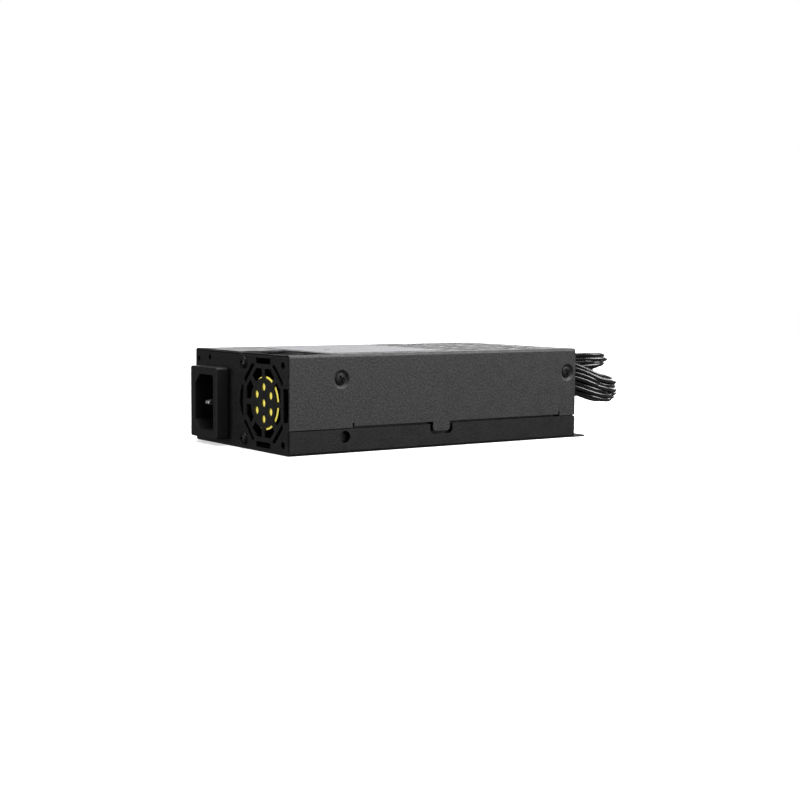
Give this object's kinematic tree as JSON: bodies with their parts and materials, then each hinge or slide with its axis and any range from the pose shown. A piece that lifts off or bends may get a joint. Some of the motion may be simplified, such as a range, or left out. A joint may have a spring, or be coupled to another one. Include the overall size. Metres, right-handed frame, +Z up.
{
  "type": "computer power supply unit",
  "caption": "Slim black sheet-metal computer power supply with a small axial fan behind a spoked grille, a mains inlet beside it and output cables at the rear.",
  "frame": {"origin": "middle of the base on the table plane, without the output cables", "axes": "+X along the length from the inlet and fan panel to the cable end, +Z up, -Y is the near long side with the notch and tab"},
  "size_m": [0.2314, 0.1744, 0.0406],
  "materials": {
    "black_paint": "textured powder coat",
    "screw_black": "black oxide",
    "steel": "bright",
    "brass": "satin",
    "bright_metal": "nickel plated",
    "aluminium": "extruded satin",
    "inlet_black": "fine moulded",
    "fan_black": "moulded",
    "rotor_black": "moulded",
    "bushing_black": "moulded",
    "cable_black": "smooth wire insulation",
    "plug_black": "moulded",
    "label_yellow": "printed film",
    "label_grey": "satin film",
    "black_film": "thin film",
    "board_green": "solder mask",
    "copper": "enamelled copper wire",
    "ferrite": "sintered",
    "coil_tape": "polyester tape",
    "can_blue": "shrink sleeve",
    "can_green": "shrink sleeve",
    "chip_black": "moulded epoxy",
    "fuse_clay": "ceramic",
    "film_yellow": "moulded",
    "wire_black": "wire insulation",
    "wire_blue": "wire insulation",
    "wire_green": "wire insulation"
  },
  "bodies": {
    "chassis": {"base_tray": "black_paint", "board_screw_1": "steel", "board_screw_2": "steel", "board_screw_3": "steel", "board_screw_4": "steel", "board_standoff_1": "brass", "board_standoff_2": "brass", "board_standoff_3": "brass", "board_standoff_4": "brass", "boost_choke": "copper", "bridge_rectifier": "chip_black", "bulk_capacitor": "can_blue", "cable_bushing": "bushing_black", "cable_drive": "cable_black", "cable_graphics": "cable_black", "cable_main_board": "cable_black", "cable_processor": "cable_black", "control_board": "board_green", "cover_screw_far_1": "screw_black", "cover_screw_far_2": "screw_black", "cover_screw_near_1": "screw_black", "cover_screw_near_2": "screw_black", "fan_bearing": "brass", "fan_frame": "fan_black", "fan_label": "label_yellow", "fan_lead": "wire_black", "fan_screw_lower": "screw_black", "fan_screw_upper": "screw_black", "fan_stator": "copper", "filter_capacitor": "film_yellow", "filter_choke": "copper", "fuse": "fuse_clay", "heat_sink_output": "aluminium", "heat_sink_primary": "aluminium", "inlet_housing": "inlet_black", "inlet_pin_earth": "bright_metal", "inlet_pin_line": "bright_metal", "inlet_pin_neutral": "bright_metal", "inlet_wire_earth": "wire_green", "inlet_wire_line": "wire_black", "inlet_wire_neutral": "wire_blue", "insulation_sheet": "black_film", "main_board": "board_green", "output_capacitor_1": "can_green", "output_capacitor_2": "can_green", "output_choke": "copper", "output_rectifier": "chip_black", "plug_drive": "plug_black", "plug_graphics": "plug_black", "plug_main_board": "plug_black", "plug_processor": "plug_black", "rating_label": "label_grey", "standby_transformer": "coil_tape", "switching_transistor": "chip_black", "top_cover": "black_paint", "transformer_core": "ferrite", "transformer_winding": "coil_tape"},
    "rotor": {"fan_rotor": "rotor_black", "fan_shaft": "steel"}
  },
  "joints": [
    {"name": "fan_spin", "type": "hinge", "parent": "chassis", "child": "rotor", "pos_m": [-0.0645, -0.01935, 0.0201], "axis": [1, 0, 0], "continuous": true}
  ]
}
